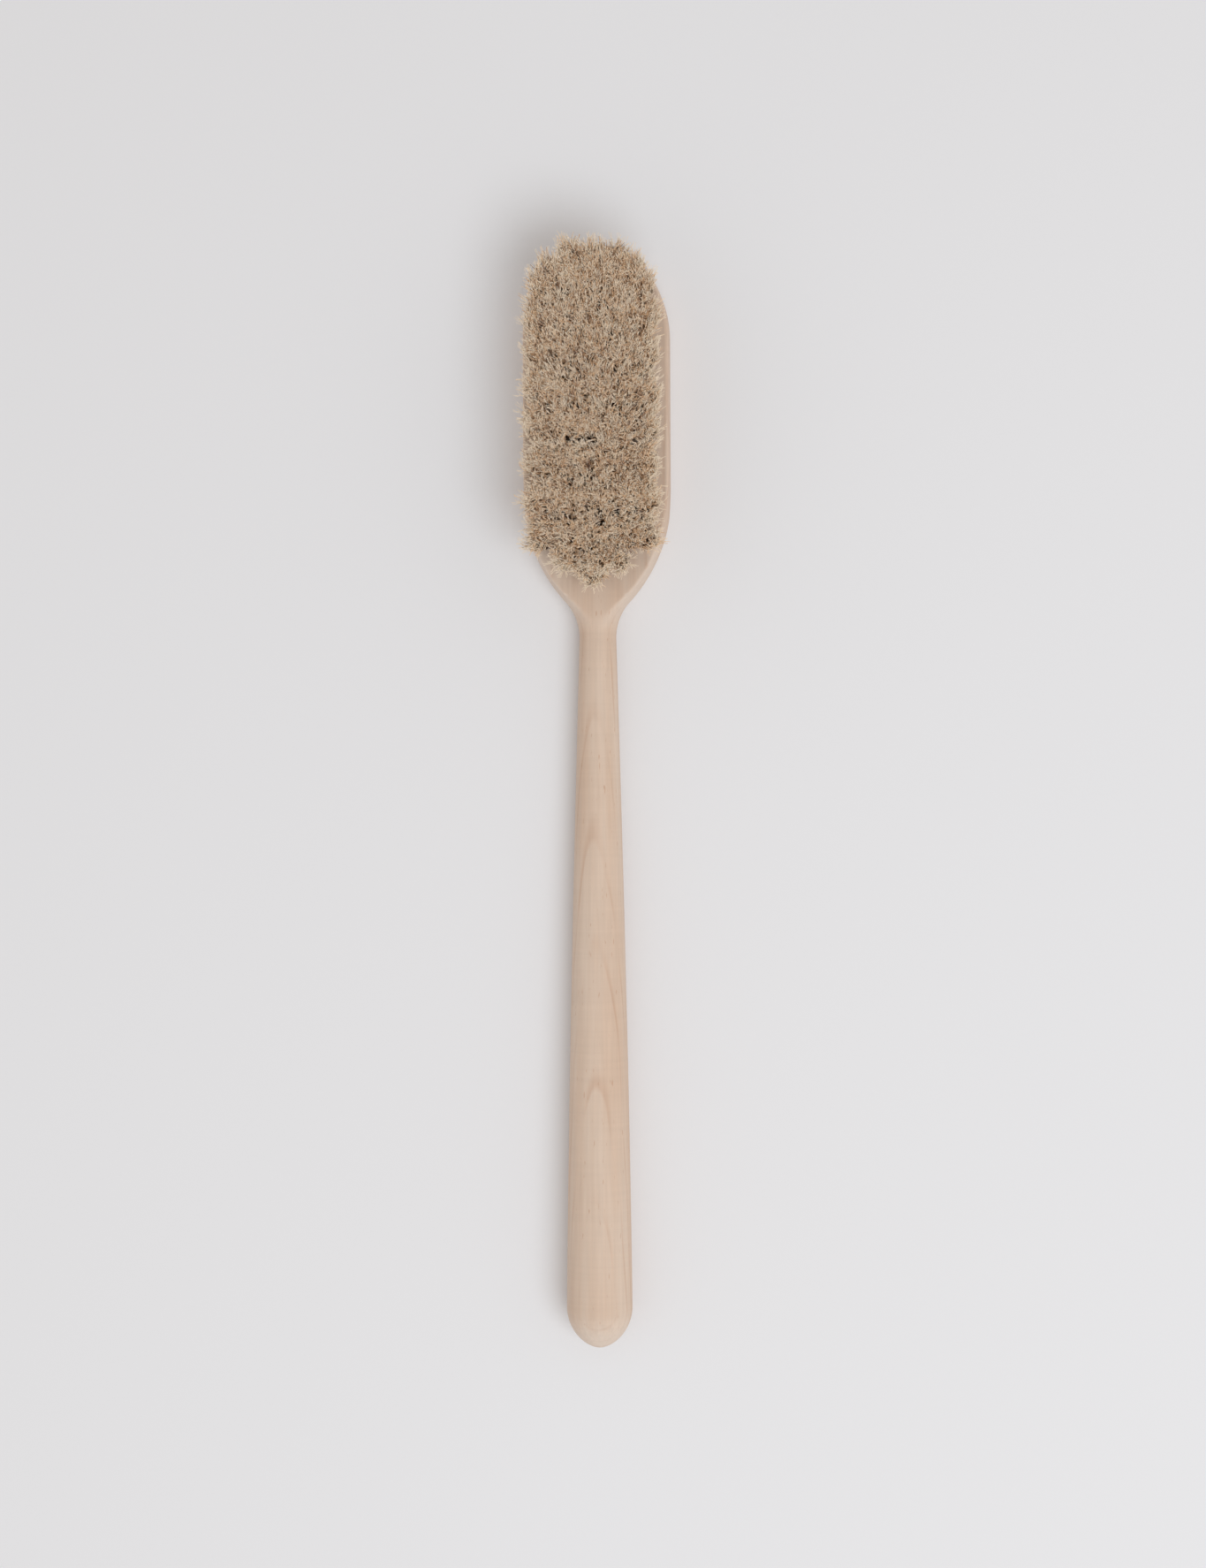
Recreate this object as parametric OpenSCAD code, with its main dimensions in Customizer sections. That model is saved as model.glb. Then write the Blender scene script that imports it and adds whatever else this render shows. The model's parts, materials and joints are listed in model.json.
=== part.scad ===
// Long-handled clothes brush, lying on its back with the bristles up.
// The head points to +Y, the butt of the handle to -Y, and the table is the plane z = 0.
// Origin: middle of the overall length, on the centre line, on the table.

/* [Overall] */
// Length from the butt of the handle to the far end of the head
overall_l = 415; // [405:1:430]
// Width across the parallel sides of the head
head_w = 55; // [54:0.5:60]
// Thickness of the head, glued back cover included
head_t = 15.5; // [15:0.5:18]

/* [Head] */
// Length of the oval far end of the head
oval_l = 34.5; // [32:0.5:38]
// Edge rounding on the bristle face
face_round = 1.3; // [0.8:0.1:1.6]
// Edge rounding on the back
back_round = 2.2; // [1:0.1:3]
// Thickness of the back cover
cover_t = 4.5; // [3.5:0.1:5]
// Distance from the far end to the seam where the cover stops at the shoulder
cover_l = 131.5; // [130:0.5:134]

/* [Shoulder and neck] */
// Distance from the far end to the widest ring of the turned shoulder
shoulder_from_end = 93.5; // [92:0.5:95]
// Radius of that widest ring
shoulder_r = 27.9; // [27.7:0.1:28.2]
// Radius of the convex curve of the shoulder
shoulder_curve = 60; // [56:1:64]
// Distance from the far end to the thinnest ring of the neck
neck_from_end = 147.5; // [146:0.5:149]
// Radius of the neck
neck_r = 6.95; // [6.5:0.05:7.4]

/* [Handle] */
// Largest radius of the grip, near the butt
grip_r = 12.35; // [11.5:0.05:13]
// Length of the rounded butt
butt_l = 15.5; // [12:0.5:18]
// How full the butt is: 1 is an ellipse, larger is more pointed
butt_shape = 1.15; // [1:0.05:1.5]
// Rise of the handle's axis from the neck to the butt
handle_rise = 4.7; // [4.6:0.1:5.4]

/* [Bristles] */
// Number of tufts in each row, from the shoulder to the far end
row_counts = [1, 4, 7, 6, 7, 6, 7, 6, 7, 6, 7, 6, 7, 6, 7, 6, 7, 6, 3];
// Spacing of the rows along the head
row_pitch = 6.64; // [6.4:0.02:6.7]
// Spacing of the tufts in a row
tuft_pitch = 6.33; // [6:0.01:6.4]
// Distance from the far end to the last row
last_row_from_end = 5.9; // [5.7:0.1:6.4]
// Height of the trimmed tips above the bristle face
bristle_l = 22.5; // [18:0.5:24]
// Diameter of a tuft where it leaves its hole
tuft_root_d = 4.2; // [3.8:0.1:4.2]
// Diameter of a tuft at its trimmed tip
tuft_tip_d = 6.4; // [5.5:0.1:6.6]
// Outward lean of the tufts across the head, per millimetre off the centre line
fan_x = 0.00718; // [0.003:0.0001:0.0075]
// Outward lean of the tufts along the head, per millimetre off the middle row
fan_y = 0.00091; // [0:0.00001:0.001]

/* [Holes and wire] */
// Diameter of a tuft hole
hole_d = 4.4; // [4.3:0.1:4.6]
// Depth of a tuft hole below the bristle face
hole_depth = 8; // [7:0.5:8.5]
// Diameter of the small hole that lets the wire through to the back
wire_hole_d = 2.8; // [2.7:0.1:3]
// Diameter of the drawing wire
wire_d = 0.6; // [0.4:0.1:0.6]
// Radius of the loop of wire that holds the fold of a tuft
loop_r = 1; // [0.9:0.05:1.05]
// Width of the grooves that take the wire on the back of the stock
groove_w = 1.4; // [1.2:0.1:1.6]
// Depth of those grooves
groove_depth = 1.3; // [1.1:0.1:1.5]

/* [Hidden] */
$fn = 64;

// Stations along Y
end_y = overall_l / 2;
oval_y = end_y - oval_l;
shoulder_y = end_y - shoulder_from_end;
neck_y = end_y - neck_from_end;
cover_y = end_y - cover_l;
butt_y = butt_l - end_y;
grip_l = neck_y - butt_y;

// Concave neck curve, tangent to the neck and to the convex shoulder curve
curve_gap = neck_r - shoulder_r + shoulder_curve;
curve_span = shoulder_y - neck_y;
neck_curve = (pow(curve_gap, 2) + pow(curve_span, 2) - pow(shoulder_curve, 2))
    / (2 * (shoulder_curve - curve_gap));
meet_y = neck_y + curve_span * neck_curve / (neck_curve + shoulder_curve);
// Past this point the shoulder runs out straight onto the sides of the head
runout_y = shoulder_y - sqrt(2 * shoulder_curve * (shoulder_r - head_w / 2));
runout_slope = (shoulder_y - runout_y) / shoulder_curve;
// The blank goes on past the head, which is cut to its own outline
blank_r = 40;

// The handle's axis rises so far that the grip just touches the table
grip_gain = grip_r - neck_r;
touch_t = acos((handle_rise - grip_gain / 2) / (grip_gain * PI / 4)) / 90;
axis_z = neck_r - handle_rise * touch_t + grip_gain * (touch_t + sin(90 * touch_t)) / 2;
handle_tilt = atan(handle_rise / grip_l);
// Keeps the overall length as it is on the tilted axis
stretch = 1 / cos(handle_tilt);

// Bristle field
rows = len(row_counts);
last_row_y = end_y - last_row_from_end;
field_y = last_row_y - row_pitch * (rows - 1) / 2;
// Back face of the stock, where the cover is glued on and the wire runs
stock_z = cover_t;
wire_z = stock_z + groove_depth / 2;
wire_drop = head_t - wire_z;
// The wire is a little fuller where it turns a corner
wire_corner_d = wire_d * 1.25;
// Height of the loop's centre above the bottom of the tuft hole
loop_lift = 0.9;
// Clearance between the hair and the wire through its fold
wire_gap = 0.1;
// Longer than anything it has to reach past
far = 60;

function row_y(row) = last_row_y - row_pitch * (rows - 1 - row);
function tuft_x(row, i) = tuft_pitch * (i - (row_counts[row] - 1) / 2);
function lean(row, i) = [fan_x * tuft_x(row, i), fan_y * (row_y(row) - field_y)];

// Radius of the turned blank along its axis
function handle_r(t) = neck_r + grip_gain * (t + sin(90 * t)) / 2;
function shoulder_at(y) = y < meet_y
    ? neck_r + neck_curve - sqrt(pow(neck_curve, 2) - pow(y - neck_y, 2))
    : shoulder_r - shoulder_curve + sqrt(pow(shoulder_curve, 2) - pow(shoulder_y - y, 2));
function between(a, b, n, first = 0) = [for (i = [first:n]) a + (b - a) * i / n];

// Half outline of the turned blank: radius, then distance along the axis from the neck
function blank_profile() = concat(
    [for (a = between(90, 0, 12)) [grip_r * pow(cos(a), butt_shape), (-grip_l - butt_l * sin(a)) * stretch]],
    [for (t = between(1, 0, 20, 1)) [handle_r(t), -grip_l * t * stretch]],
    [for (y = between(neck_y, meet_y, 9, 1)) [shoulder_at(y), y - neck_y]],
    [for (y = between(meet_y, runout_y, 12, 1)) [shoulder_at(y), y - neck_y]],
    [
        [blank_r, runout_y + (blank_r - head_w / 2) / runout_slope - neck_y],
        [blank_r, end_y + far - neck_y],
        [0, end_y + far - neck_y],
    ]
);

module turned_blank() {
    translate([0, neck_y, axis_z])
        rotate([-90 - handle_tilt, 0, 0])
            rotate_extrude()
                polygon(blank_profile());
}

// Half of the head's cross-section: flat face and back, rounded edges
module half_section() {
    half = head_w / 2;
    square([half - back_round, head_t]);
    translate([0, back_round])
        square([half, head_t - back_round - face_round]);
    translate([0, head_t - 2 * face_round])
        square([half - face_round, 2 * face_round]);
    translate([half - back_round, back_round])
        circle(back_round);
    translate([half - face_round, head_t - face_round])
        circle(face_round);
}

module head_section() {
    half_section();
    mirror([1, 0])
        half_section();
}

module head_block() {
    translate([0, oval_y, 0])
        rotate([90, 0, 0])
            linear_extrude(oval_y - neck_y - 4)
                head_section();
    translate([0, oval_y, 0])
        scale([1, oval_l * 2 / head_w, 1])
            rotate_extrude(angle = 180)
                half_section();
}

module handle_zone() {
    translate([-far / 2, -end_y - far, -far])
        cube([far, end_y + far + neck_y + 4, 3 * far]);
}

// Outside shape of the wood, before it is split into stock and cover
module wood() {
    intersection() {
        turned_blank();
        union() {
            head_block();
            handle_zone();
        }
    }
}

module cover_zone() {
    translate([-far, cover_y, -1])
        cube([2 * far, end_y - cover_y + 10, cover_t + 1]);
}

// Puts its child on the axis of one tuft, with the bristle face at z = 0 there
module at_tuft(row, i) {
    slope = lean(row, i);
    turn_y = atan(slope[0]);
    translate([tuft_x(row, i), row_y(row), head_t])
        rotate([-atan(slope[1] * cos(turn_y)), turn_y, 0])
            children();
}

// Where one leg of a tuft's wire loop turns the corner on the back of the stock
function leg_foot(row, i, side) =
    let(
        slope = lean(row, i),
        turn_y = atan(slope[0]),
        drop = wire_drop - side * loop_r * sin(turn_y)
    )
    [
        tuft_x(row, i) + side * loop_r * cos(turn_y) - slope[0] * drop,
        row_y(row) - slope[1] * drop,
        wire_z
    ];

// The wire works along the rows to and fro, so odd rows are passed from right to left
function heading(row) = row % 2 == 0 ? 1 : -1;
function first_tuft(row) = heading(row) > 0 ? 0 : row_counts[row] - 1;
function last_tuft(row) = row_counts[row] - 1 - first_tuft(row);
function row_start(row) = leg_foot(row, first_tuft(row), -heading(row));
function row_stop(row) = leg_foot(row, last_tuft(row), heading(row));

// Puts its child at p, with its X axis pointing to q
module along(p, q) {
    run = q - p;
    translate(p)
        rotate([0, 0, atan2(run[1], run[0])])
            children();
}

module wire_stretch(p, q) {
    along(p, q)
        rotate([0, 90, 0])
            cylinder(d = wire_d, h = norm(q - p));
}

module groove(p, q) {
    along(p, q)
        translate([-groove_w / 2, -groove_w / 2, stock_z - wire_z - 1])
            cube([norm(q - p) + groove_w, groove_w, groove_depth + 1]);
}

// Loop of wire round the fold of a tuft: two legs and a half-round crown
module wire_loop(d, leg_end) {
    crown_z = loop_lift - hole_depth;
    translate([0, 0, crown_z])
        rotate([90, 0, 0])
            rotate_extrude(angle = 180)
                translate([loop_r, 0])
                    circle(d = d);
    for (side = [-1, 1])
        translate([side * loop_r, 0, crown_z])
            rotate([180, 0, 0])
                cylinder(d = d, h = crown_z - leg_end);
}

module tuft_hole() {
    translate([0, 0, -hole_depth])
        cylinder(d = hole_d, h = hole_depth + 1);
    translate([0, 0, -head_t - 2])
        cylinder(d = wire_hole_d, h = head_t);
}

// One tuft, before its tip is trimmed: straight in the hole, then spreading
module tuft() {
    spread = (tuft_tip_d - tuft_root_d) / bristle_l;
    spare = 3;
    difference() {
        union() {
            translate([0, 0, -hole_depth])
                cylinder(d = tuft_root_d, h = hole_depth);
            cylinder(
                d1 = tuft_root_d,
                d2 = tuft_root_d + spread * (bristle_l + spare),
                h = bristle_l + spare
            );
        }
        wire_loop(wire_d + wire_gap, -hole_depth - 1);
    }
}

module brush_body() {
    color("burlywood")
        difference() {
            wood();
            cover_zone();
            for (row = [0:rows - 1], i = [0:row_counts[row] - 1])
                at_tuft(row, i)
                    tuft_hole();
            for (row = [0:rows - 1])
                groove(row_start(row), row_stop(row));
            for (row = [1:rows - 1])
                groove(row_stop(row - 1), row_start(row));
        }
}

module back_cover() {
    color("wheat")
        intersection() {
            wood();
            cover_zone();
        }
}

module wire_row(row) {
    for (i = [0:row_counts[row] - 1])
        at_tuft(row, i)
            wire_loop(wire_d, -wire_drop / cos(atan(norm(lean(row, i)))));
    for (i = [0:row_counts[row] - 1], side = [-1, 1])
        translate(leg_foot(row, i, side))
            sphere(d = wire_corner_d);
    if (row_counts[row] > 1)
        for (i = [1:row_counts[row] - 1])
            wire_stretch(leg_foot(row, i - 1, 1), leg_foot(row, i, -1));
}

module drawing_wire() {
    color("gold") {
        for (row = [0:rows - 1])
            wire_row(row);
        for (row = [1:rows - 1])
            wire_stretch(row_stop(row - 1), row_start(row));
    }
}

module tuft_row(row) {
    color(row % 2 == 0 ? "tan" : "peru")
        intersection() {
            for (i = [0:row_counts[row] - 1])
                at_tuft(row, i)
                    tuft();
            translate([-far, 0, 0])
                cube([2 * far, end_y + far, head_t + bristle_l]);
        }
}

brush_body();
back_cover();
drawing_wire();
for (row = [0:rows - 1])
    tuft_row(row);
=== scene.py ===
"""A long-handled clothes brush of pale wood and horsehair, lying on its back with the bristles up.

Everything is in metres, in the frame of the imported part: +Y runs from the butt of the handle to the far
end of the head, +Z from the table to the bristle tips.
"""

from __future__ import annotations

import json
import logging
import math
from dataclasses import dataclass
from enum import Enum
from typing import Any, Sequence

import bmesh
import bpy
import numpy as np
from mathutils import Matrix, Vector

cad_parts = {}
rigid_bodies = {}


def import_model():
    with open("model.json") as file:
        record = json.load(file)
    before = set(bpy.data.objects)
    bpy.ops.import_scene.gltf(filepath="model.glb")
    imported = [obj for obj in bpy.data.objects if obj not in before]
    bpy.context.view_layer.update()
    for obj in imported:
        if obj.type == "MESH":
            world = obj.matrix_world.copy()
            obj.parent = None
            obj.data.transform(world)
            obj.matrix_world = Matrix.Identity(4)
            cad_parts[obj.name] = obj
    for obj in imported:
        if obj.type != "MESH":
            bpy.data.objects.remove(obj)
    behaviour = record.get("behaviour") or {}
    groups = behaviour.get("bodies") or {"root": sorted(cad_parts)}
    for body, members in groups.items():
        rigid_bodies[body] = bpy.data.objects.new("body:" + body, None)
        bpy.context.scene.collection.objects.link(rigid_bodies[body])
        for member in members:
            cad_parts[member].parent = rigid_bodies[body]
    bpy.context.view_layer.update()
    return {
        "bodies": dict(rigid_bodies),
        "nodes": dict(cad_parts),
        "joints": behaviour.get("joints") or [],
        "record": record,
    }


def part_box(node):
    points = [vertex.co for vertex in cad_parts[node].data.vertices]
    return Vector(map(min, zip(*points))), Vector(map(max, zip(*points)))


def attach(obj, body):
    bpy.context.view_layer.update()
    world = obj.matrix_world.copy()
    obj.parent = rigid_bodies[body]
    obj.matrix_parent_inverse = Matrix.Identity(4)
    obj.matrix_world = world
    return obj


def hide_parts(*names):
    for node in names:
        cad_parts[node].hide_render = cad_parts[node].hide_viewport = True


LOG = logging.getLogger("clothes_brush")
MM = 0.001
ROOT_BODY = "root"
FULL_TURN = 2 * math.pi
HAIR_WORKINGS = ("root", "straight", "bend", "phase", "lean", "outward", "tone", "height", "along")


# Node graphs


class Socket:
    """An output socket that takes part in Python arithmetic: each operator adds one Math node."""

    def __init__(self, graph: "NodeGraph", socket: bpy.types.NodeSocket) -> None:
        """Wraps one output socket.

        Args:
            graph: The graph that the socket belongs to.
            socket: The output socket itself.
        """
        self.graph = graph
        self.socket = socket

    def __add__(self, other: "Operand") -> "Socket":
        """Adds a number or a socket."""
        return self.graph.math("ADD", self, other)

    def __sub__(self, other: "Operand") -> "Socket":
        """Subtracts a number or a socket."""
        return self.graph.math("SUBTRACT", self, other)

    def __mul__(self, other: "Operand") -> "Socket":
        """Multiplies by a number or a socket."""
        return self.graph.math("MULTIPLY", self, other)

    def __truediv__(self, other: "Operand") -> "Socket":
        """Divides by a number or a socket."""
        return self.graph.math("DIVIDE", self, other)

    def __pow__(self, other: "Operand") -> "Socket":
        """Raises to a power."""
        return self.graph.math("POWER", self, other)

    def __rsub__(self, other: "Operand") -> "Socket":
        """Subtracts this socket from a number."""
        return self.graph.math("SUBTRACT", other, self)

    def __rtruediv__(self, other: "Operand") -> "Socket":
        """Divides a number by this socket."""
        return self.graph.math("DIVIDE", other, self)

    __radd__ = __add__
    __rmul__ = __mul__


Operand = Socket | float | int
Colour = tuple[float, float, float]
Pair = tuple[float, float]
Triple = tuple[float, float, float]
Spots = tuple[np.ndarray, np.ndarray, np.ndarray]


class NodeGraph:
    """Builds a shader or geometry node tree from Python expressions."""

    def __init__(self, tree: bpy.types.NodeTree) -> None:
        """Wraps a node tree.

        Args:
            tree: The tree that nodes are added to.
        """
        self.tree = tree

    def node(
        self, kind: str, settings: dict[str, Any] | None = None, inputs: dict[str | int, Any] | None = None
    ) -> bpy.types.Node:
        """Adds one node.

        Args:
            kind: The node's type, such as ShaderNodeTexNoise.
            settings: Properties that are set before the sockets are used. "stops" fills a colour ramp.
            inputs: Values or links for its input sockets, by name, identifier or index.

        Returns:
            The new node.
        """
        made = self.tree.nodes.new(kind)
        for name, value in (settings or {}).items():
            if name == "stops":
                self._fill_ramp(made.color_ramp, value)
            else:
                setattr(made, name, value)
        for name, value in (inputs or {}).items():
            self._feed(self._input(made, name), value)
        return made

    def out(
        self,
        kind: str,
        output: str | int,
        settings: dict[str, Any] | None = None,
        inputs: dict[str | int, Any] | None = None,
    ) -> Socket:
        """Adds one node and returns one of its outputs.

        Args:
            kind: The node's type.
            output: The output's name or index.
            settings: As for node.
            inputs: As for node.

        Returns:
            The wrapped output socket.
        """
        return Socket(self, self.node(kind, settings, inputs).outputs[output])

    def math(self, operation: str, *values: Operand) -> Socket:
        """Adds a Math node.

        Args:
            operation: The node's operation.
            values: Its operands, in order.

        Returns:
            The result.
        """
        return self.out("ShaderNodeMath", 0, {"operation": operation}, dict(enumerate(values)))

    def vector(self, operation: str, *values: Any) -> Socket:
        """Adds a Vector Math node.

        Args:
            operation: The node's operation.
            values: Its operands, in order. SCALE takes the vector and then the factor.

        Returns:
            The result, a vector unless the operation gives a number.
        """
        inputs = dict(enumerate(values))
        if operation == "SCALE":
            inputs = {0: values[0], "Scale": values[1]}
        output = 1 if operation in ("LENGTH", "DISTANCE", "DOT_PRODUCT") else 0
        return self.out("ShaderNodeVectorMath", output, {"operation": operation}, inputs)

    def combine(self, x: Operand, y: Operand, z: Operand) -> Socket:
        """Joins three numbers into a vector."""
        return self.out("ShaderNodeCombineXYZ", 0, None, {0: x, 1: y, 2: z})

    def remap(
        self,
        value: Socket,
        start: float,
        stop: float,
        low: float = 0.0,
        high: float = 1.0,
        kind: str = "LINEAR",
    ) -> Socket:
        """Maps one range of values on to another and clamps the result.

        Args:
            value: What is mapped.
            start: The value that becomes low.
            stop: The value that becomes high.
            low: The result at start.
            high: The result at stop.
            kind: The node's interpolation.

        Returns:
            The mapped value.
        """
        inputs = {0: value, 1: start, 2: stop, 3: low, 4: high}
        return self.out("ShaderNodeMapRange", 0, {"interpolation_type": kind}, inputs)

    def link(self, value: Socket, made: bpy.types.Node, name: str) -> None:
        """Links a value to a node's named input."""
        self.tree.links.new(value.socket, made.inputs[name])

    def mix(self, factor: Operand, first: Any, second: Any) -> Socket:
        """Mixes two colours.

        Args:
            factor: How much of the second colour to take, from 0 to 1.
            first: Colour or socket.
            second: Colour or socket.

        Returns:
            The mixed colour.
        """
        settings = {"data_type": "RGBA", "blend_type": "MIX", "clamp_factor": True}
        inputs = {"Factor_Float": factor, "A_Color": first, "B_Color": second}
        return self.out("ShaderNodeMix", 2, settings, inputs)

    def _input(self, made: bpy.types.Node, name: str | int) -> bpy.types.NodeSocket:
        """Finds an input socket.

        Args:
            made: The node.
            name: The input's index, identifier or name.

        Returns:
            The socket.
        """
        if isinstance(name, int):
            return made.inputs[name]
        for socket in made.inputs:
            if socket.identifier == name:
                return socket
        return made.inputs[name]

    def _feed(self, socket: bpy.types.NodeSocket, value: Any) -> None:
        """Links a socket or sets its value.

        Args:
            socket: The input socket.
            value: A link, a number, a colour of three channels or another constant.
        """
        if isinstance(value, Socket):
            self.tree.links.new(value.socket, socket)
        elif isinstance(value, bpy.types.NodeSocket):
            self.tree.links.new(value, socket)
        elif socket.type == "RGBA" and len(value) == 3:
            socket.default_value = (*value, 1.0)
        else:
            socket.default_value = value

    @staticmethod
    def _fill_ramp(ramp: bpy.types.ColorRamp, stops: Sequence[tuple[float, Colour]]) -> None:
        """Sets a colour ramp's stops.

        Args:
            ramp: The ramp, with its usual two stops.
            stops: Each stop's place and colour, in order.
        """
        while len(ramp.elements) < len(stops):
            ramp.elements.new(1.0)
        for element, (place, colour) in zip(ramp.elements, stops, strict=True):
            element.position = place
            element.color = (*colour, 1.0)


def linear(channel: int) -> float:
    """Turns a channel of 0 to 255 into linear light, by the sRGB curve with its straight foot."""
    share = channel / 255
    return share / 12.92 if share <= 0.04045 else ((share + 0.055) / 1.055) ** 2.4


def srgb(red: int, green: int, blue: int) -> Colour:
    """Turns a colour of 0 to 255 a channel into the linear one that shaders use."""
    return linear(red), linear(green), linear(blue)


# Finishes


class Finish:
    """What every finish shares: a material with one Principled shader."""

    def start(self, name: str, **constants: Any) -> tuple[bpy.types.Material, NodeGraph, bpy.types.Node]:
        """Makes an empty material with a Principled shader.

        Args:
            name: The material's name.
            constants: Values for the shader's own sockets, with underscores for spaces.

        Returns:
            The material, its graph and the shader node.
        """
        material = bpy.data.materials.new(name)
        material.use_nodes = True
        material.node_tree.nodes.clear()
        graph = NodeGraph(material.node_tree)
        inputs = {key.replace("_", " "): value for key, value in constants.items()}
        shader = graph.node("ShaderNodeBsdfPrincipled", None, inputs)
        graph.node("ShaderNodeOutputMaterial", None, {"Surface": shader.outputs[0]})
        return material, graph, shader


@dataclass(frozen=True)
class MapleFinish(Finish):
    """Untreated, fine-sanded maple: pale, with long fibres, faint growth rings and small pin flecks.

    A scale is features in a metre across, along and up the brush. A strength is a share of a colour.
    """

    name: str
    pale: Colour = srgb(224, 204, 186)
    warm: Colour = srgb(216, 188, 165)
    line: Colour = srgb(188, 138, 102)
    end_grain: Colour = srgb(224, 210, 197)
    roughness: float = 0.62
    fibre_scale: Triple = (900, 26, 900)
    streak_scale: Triple = (130, 5, 130)
    cloud_scale: Triple = (38, 11, 38)
    mark_scale: Triple = (30, 640, 30)
    wobble_scale: Triple = (24, 7, 24)
    patch_scale: Triple = (110, 30, 110)
    fleck_scale: Triple = (1500, 210, 1500)
    streak_share: float = 0.55
    cloud_share: float = 0.45
    tone_range: Pair = (0.38, 0.63)
    fibre_share: float = 0.7
    mark_share: float = 0.3
    grain_range: Pair = (0.3, 0.7)
    grain_shade: Pair = (0.94, 1.05)
    ring_spacing: float = 3.1 * MM
    ring_wobble: float = 2.4
    ring_centre: Triple = (0.003, 0.0, -0.021)
    ring_tilt: float = -1.3
    ring_turn: float = -0.7
    ring_rise: Pair = (0.74, 0.95)
    ring_patches: Pair = (0.38, 0.62)
    faintest_ring: float = 0.05
    ring_strength: float = 0.3
    ring_depth: float = 0.3
    fleck_range: Pair = (0.71, 0.78)
    fleck_strength: float = 0.5
    fleck_depth: float = 0.8
    cut_range: Pair = (0.08, 0.6)
    cut_strength: float = 0.55
    relief: float = 0.15 * MM
    relief_strength: float = 0.12

    def material(self) -> bpy.types.Material:
        """Builds the material.

        Returns:
            The finished material.
        """
        constants = {"Roughness": self.roughness, "IOR": 1.45, "Specular_IOR_Level": 0.5}
        material, graph, shader = self.start(self.name, **constants)
        place = graph.out("ShaderNodeTexCoord", "Object")
        fibres = self._noise(graph, place, self.fibre_scale, detail=4.0)
        streaks = self._noise(graph, place, self.streak_scale, detail=3.0)
        clouds = self._noise(graph, place, self.cloud_scale, detail=2.0)
        marks = self._noise(graph, place, self.mark_scale, detail=2.0)
        rings = self._rings(graph, place)
        flecks = self._flecks(graph, place)
        tone = graph.remap(streaks * self.streak_share + clouds * self.cloud_share, *self.tone_range)
        colour = graph.mix(tone, self.pale, self.warm)
        colour = graph.mix(rings * self.ring_strength, colour, self.line)
        colour = graph.mix(flecks * self.fleck_strength, colour, self.line)
        colour = graph.mix(self._cut_across(graph) * self.cut_strength, colour, self.end_grain)
        grain = fibres * self.fibre_share + marks * self.mark_share
        grain = graph.remap(grain, *self.grain_range, *self.grain_shade)
        graph.link(graph.vector("SCALE", colour, grain), shader, "Base Color")
        height = fibres - rings * self.ring_depth - flecks * self.fleck_depth
        inputs = {"Strength": self.relief_strength, "Distance": self.relief, "Height": height}
        graph.link(graph.out("ShaderNodeBump", 0, None, inputs), shader, "Normal")
        return material

    def _noise(self, graph: NodeGraph, place: Socket, scale: Triple, detail: float) -> Socket:
        """Noise that is drawn out along the grain.

        Args:
            graph: The material's graph.
            place: Object coordinates.
            scale: Features per metre along each axis.
            detail: The noise's detail.

        Returns:
            A value around 0.5.
        """
        stretched = graph.vector("MULTIPLY", place, scale)
        inputs = {"Vector": stretched, "Scale": 1.0, "Detail": detail, "Roughness": 0.55}
        return graph.out("ShaderNodeTexNoise", 0, None, inputs)

    def _rings(self, graph: NodeGraph, place: Socket) -> Socket:
        """Growth rings: thin late-wood lines around an axis that leans a little against the grain.

        Args:
            graph: The material's graph.
            place: Object coordinates.

        Returns:
            A mask that is 1 on a line.
        """
        turn = (math.radians(self.ring_tilt), 0.0, math.radians(self.ring_turn))
        inputs = {"Vector": graph.vector("SUBTRACT", place, self.ring_centre), "Rotation": turn}
        turned = graph.out("ShaderNodeMapping", 0, {"vector_type": "POINT"}, inputs)
        wobble = self._noise(graph, place, self.wobble_scale, detail=2.0)
        across = graph.vector("MULTIPLY", turned, (1.0, 0.0, 1.0))
        radius = graph.vector("LENGTH", across) + wobble * (self.ring_wobble * self.ring_spacing)
        phase = graph.math("FRACT", radius / self.ring_spacing)
        rise = graph.remap(phase, *self.ring_rise, kind="SMOOTHSTEP")
        fall = graph.remap(phase, self.ring_rise[1], 1.0, 1.0, 0.0)
        patches = self._noise(graph, place, self.patch_scale, detail=1.0)
        return rise * fall * graph.remap(patches, *self.ring_patches, self.faintest_ring)

    def _cut_across(self, graph: NodeGraph) -> Socket:
        """Where the surface cuts across the fibres, as on the shoulder and the butt, which look greyer.

        Args:
            graph: The material's graph.

        Returns:
            A mask that is 1 on end grain.
        """
        normal = graph.out("ShaderNodeTexCoord", "Normal")
        along = graph.math("ABSOLUTE", graph.vector("DOT_PRODUCT", normal, (0.0, 1.0, 0.0)))
        return graph.remap(along, *self.cut_range)

    def _flecks(self, graph: NodeGraph, place: Socket) -> Socket:
        """Short, dark pin flecks along the grain, as a mask that is 1 on a fleck."""
        return graph.remap(self._noise(graph, place, self.fleck_scale, detail=1.0), *self.fleck_range)


class HairAttribute(Enum):
    """Named attributes that the hairs carry to their material."""

    TONE = "hair_tone"
    ALONG = "hair_along"


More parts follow.
